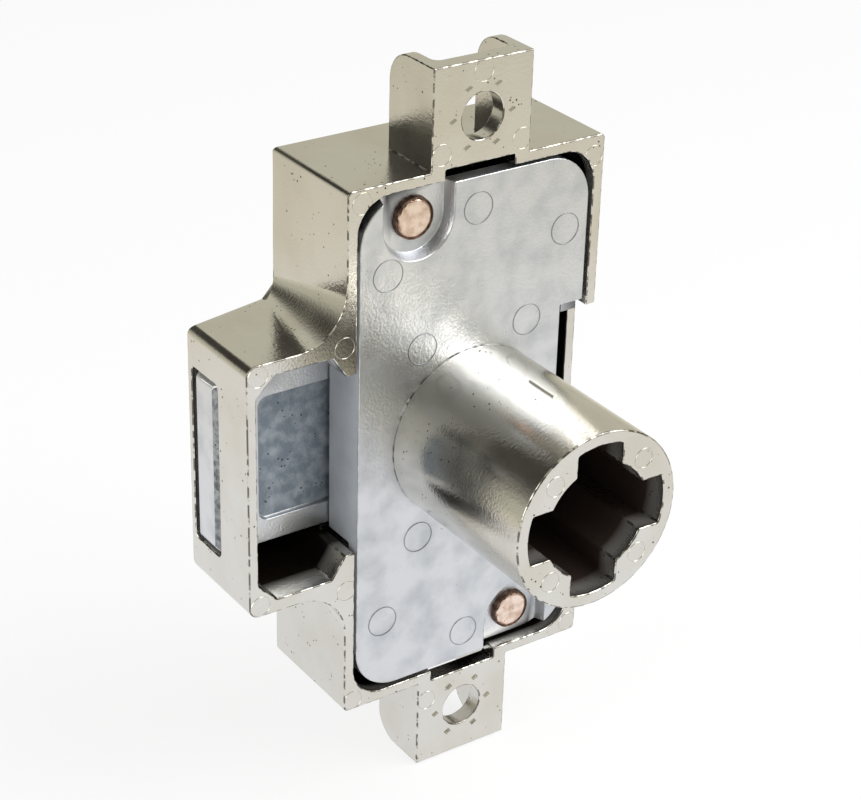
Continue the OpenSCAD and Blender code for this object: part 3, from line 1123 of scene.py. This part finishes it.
@dataclass
class GripTeeth:
    """Six slanted teeth round each lug hole, which bite into the door."""

    hole_z: float = 32.5
    circle_r: float = 3.25
    count: int = 6
    size: tuple[float, float, float] = (0.65, 0.28, 0.24)
    slant: float = 30.0
    crest: float = 0.35
    sunk: float = 0.05

    def build(self) -> bpy.types.Object:
        """Build the teeth of both lugs.

        Returns:
            The new piece.
        """
        bm = bmesh.new()
        long, wide, high = (value * MM for value in self.size)
        foot = self.sunk * MM
        profile = ((1, foot), (self.crest, -high), (-self.crest, -high), (-1, foot))
        tilt = Matrix.Rotation(-math.radians(self.slant), 4, "Y")
        for hole in (self.hole_z, -self.hole_z):
            for i in range(self.count):
                turn = 2 * math.pi * i / self.count
                across = math.cos(turn) * self.circle_r
                up = hole + math.sin(turn) * self.circle_r
                place = Vector((across, 0, up)) * MM
                rows = [
                    [
                        place + tilt @ Vector((share * long / 2, lift, side * wide / 2))
                        for side, lift in profile
                    ]
                    for share in (-1, 1)
                ]
                sweep(bm, rows, closed=False)
        piece = new_object("lug_grip_teeth", bm, NICKEL)
        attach(piece, "housing")
        return piece


@dataclass
class BarrelRib:
    """The short raised rib on the barrel's upper side."""

    angle: float = 87.0
    reach_y: tuple[float, float] = (-12.2, -8.4)
    radius: float = 9.0
    width: float = 0.6
    height: float = 0.2
    crest: float = 0.5
    sunk: float = 0.1

    def build(self) -> bpy.types.Object:
        """Build the rib.

        Returns:
            The new piece.
        """
        bm = bmesh.new()
        turn = math.radians(self.angle)
        out = Vector((math.cos(turn), 0, math.sin(turn)))
        side = Vector((-out.z, 0, out.x))
        foot = self.radius - self.sunk
        top = self.radius + self.height
        profile = ((foot, -1), (top, -self.crest), (top, self.crest), (foot, 1))
        rows = [
            [
                (out * far + side * (share * self.width / 2) + Vector((0, y, 0))) * MM
                for far, share in profile
            ]
            for y in self.reach_y
        ]
        sweep(bm, rows, closed=False)
        piece = new_object("barrel_rib", bm, NICKEL)
        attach(piece, "housing")
        return piece


@dataclass
class RivetCollars:
    """The ragged dark rims that forming leaves round the rivets' ends."""

    places: tuple[tuple[float, float], ...] = ((-6.6, 23.5), (6.6, -23.5))
    head_r: float = 2.05
    head_y: float = 0.9
    foot_y: float = 1.47
    ragged: float = 0.5
    rough_range: tuple[float, float] = (0.2, 1.0)
    lift_most: float = 0.08
    thin: float = 0.12
    thick_at: float = 130.0
    steps: int = 60
    seed: int = 7

    def build(self) -> bpy.types.Object:
        """Build both rims.

        Returns:
            The new piece.
        """
        bm = bmesh.new()
        draw = random.Random(self.seed)
        for x, z in self.places:
            rows = []
            for i in range(self.steps):
                turn = 2 * math.pi * i / self.steps
                out = Vector((math.cos(turn), 0, math.sin(turn)))
                toward = max(0.0, math.cos(turn - math.radians(self.thick_at)))
                thick = self.thin + (1 - self.thin) * toward
                rough = draw.uniform(*self.rough_range) * thick * self.ragged
                lift = draw.uniform(0, self.lift_most)
                # From the rim's inner edge over its top, which lies on the rivet's end, down to its foot
                profile = (
                    (self.head_r - 0.04 - rough, self.head_y + 0.05),
                    (self.head_r - 0.02 - rough / 2, self.head_y - 0.02 - lift * thick),
                    (self.head_r + 0.02, self.head_y + 0.02 - lift * thick / 2),
                    (self.head_r + 0.03 + rough / 4, self.foot_y - 0.2),
                    (self.head_r + 0.05 + rough / 4, self.foot_y),
                    (self.head_r - 0.3 - rough, self.foot_y),
                )
                rows.append([(Vector((x, y, z)) + out * far) * MM for far, y in profile])
            sweep(bm, rows, closed=True)
        piece = new_object("rivet_collars", bm, RIVET_DIRT)
        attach(piece, "housing")
        return piece


# Where the ejector marks stand: the face's place along the barrel's axis, and each mark's middle
PLATE_FACE = 0.15
PLATE_MARKS = (
    (0, 23.4),
    (0, -23.4),
    (-9.9, 18.8),
    (-9.9, -18.8),
    (10.3, 19),
    (6.2, 10.4),
    (-5.9, 10.3),
    (-5.9, -10.3),
)
RIM_FACE = 0.0
RIM_MARKS = (
    (-12.85, 26.6),
    (-23.8, 12.2),
    (-23.8, -12.2),
    (13.2, 25.9),
    (-14.6, 12.7),
    (-14.2, -13.7),
    (-13.4, -26.9),
    (13.4, -26.9),
    (0, 36.8),
    (-4.4, 29.5),
    (4.6, 29.4),
    (-4.4, -30.3),
)
BARREL_FACE = -19.95
BARREL_MARKS = ((5, 5), (-5, 5), (-5, -5), (5, -5))


def ground_of(pieces: list[bpy.types.Object]) -> BVHTree:
    """Join the meshes of some pieces to one surface for ray casts.

    Args:
        pieces: The pieces, each at the origin.

    Returns:
        The surface.
    """
    bm = bmesh.new()
    for piece in pieces:
        bm.from_mesh(piece.data)
    ground = BVHTree.FromBMesh(bm)
    bm.free()
    return ground


def main() -> None:
    """Build the lock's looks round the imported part."""
    logging.basicConfig(level=logging.INFO, format="%(message)s")
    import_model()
    PhotoCamera().build()
    packed = [
        Case(
            "case", "housing", Slot.NICKEL, NICKEL, edge_mm=0.13, cuts_mm=(0.4, 1.4, 3.0, 5.0)
        ),
        BasePlate("base_plate", "housing", Slot.ZINC, ZINC, other_finishes=(LIT_FLANGE_ZINC,)),
        Barrel(
            "barrel",
            "housing",
            Slot.NICKEL,
            BORE_NICKEL,
            edge_mm=0.15,
            cuts_mm=(-19.2, -18.4, -17.4),
        ),
        # The driver sits deep in the bore, and its nearly black finish is painted shade
        PackedPiece("driver", "driver", Slot.DARK_ZINC, DARK_ZINC),
        PackedPiece("crank_pin", "driver", Slot.STEEL, STEEL, edge_mm=0.1),
        Bolt("bolt", "bolt", Slot.ZINC, ZINC, other_finishes=(POCKET_ZINC, SHADED_BAND_ZINC)),
        PackedPiece("detent_spring", "housing", Slot.STEEL, STEEL, edge_mm=0.05),
        PackedPiece("rivet_upper", "housing", Slot.COPPER, COPPER, edge_mm=0.1),
        PackedPiece("rivet_lower", "housing", Slot.COPPER, COPPER, edge_mm=0.1),
    ]
    pieces = [each.build() for each in packed]
    ground = ground_of(pieces[:3])
    marks = (
        EjectorMarks("plate_ejector_marks", Slot.ZINC, SHADED_RIDGE_ZINC, PLATE_FACE, PLATE_MARKS),
        EjectorMarks("case_ejector_marks", Slot.NICKEL, NICKEL, RIM_FACE, RIM_MARKS, radius=1.05),
        EjectorMarks(
            "barrel_ejector_marks", Slot.NICKEL, NICKEL, BARREL_FACE, BARREL_MARKS, radius=1.0
        ),
    )
    pieces += [mark.build(ground) for mark in marks]
    pieces += [GripTeeth().build(), BarrelRib().build(), RivetCollars().build()]
    for piece in pieces:
        LOG.info("%s: %d faces", piece.name, len(piece.data.polygons))
    Studio().build()
    bpy.context.scene.view_settings.view_transform = "Standard"


if __name__ == "__main__":
    main()
